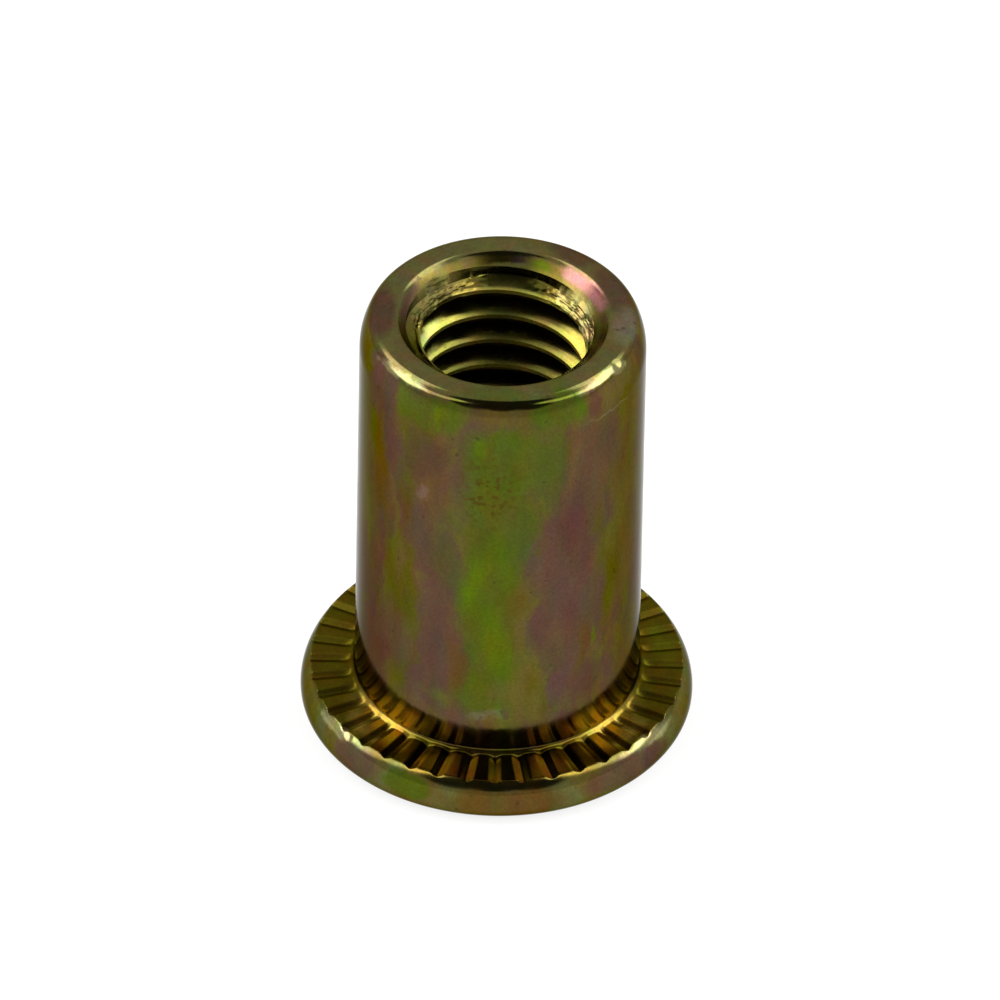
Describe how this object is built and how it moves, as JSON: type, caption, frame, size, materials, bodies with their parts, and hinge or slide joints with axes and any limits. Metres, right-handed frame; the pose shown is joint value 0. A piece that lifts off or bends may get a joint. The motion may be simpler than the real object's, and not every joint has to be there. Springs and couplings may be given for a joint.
{
  "type": "rivet nut",
  "caption": "Flat-head blind rivet nut: a round threaded barrel with a thin-walled collapse zone and a serrated flange, yellow zinc plated.",
  "frame": {"origin": "centre of the head's outer face, on the axis", "axes": "+Z along the axis, from the head to the threaded end"},
  "size_m": [0.0124, 0.0124, 0.0155],
  "materials": {
    "plated_steel": "yellow chromated zinc plating with olive, mauve and green tints"
  },
  "bodies": {
    "root": {"rivet_nut": "plated_steel"}
  },
  "joints": []
}
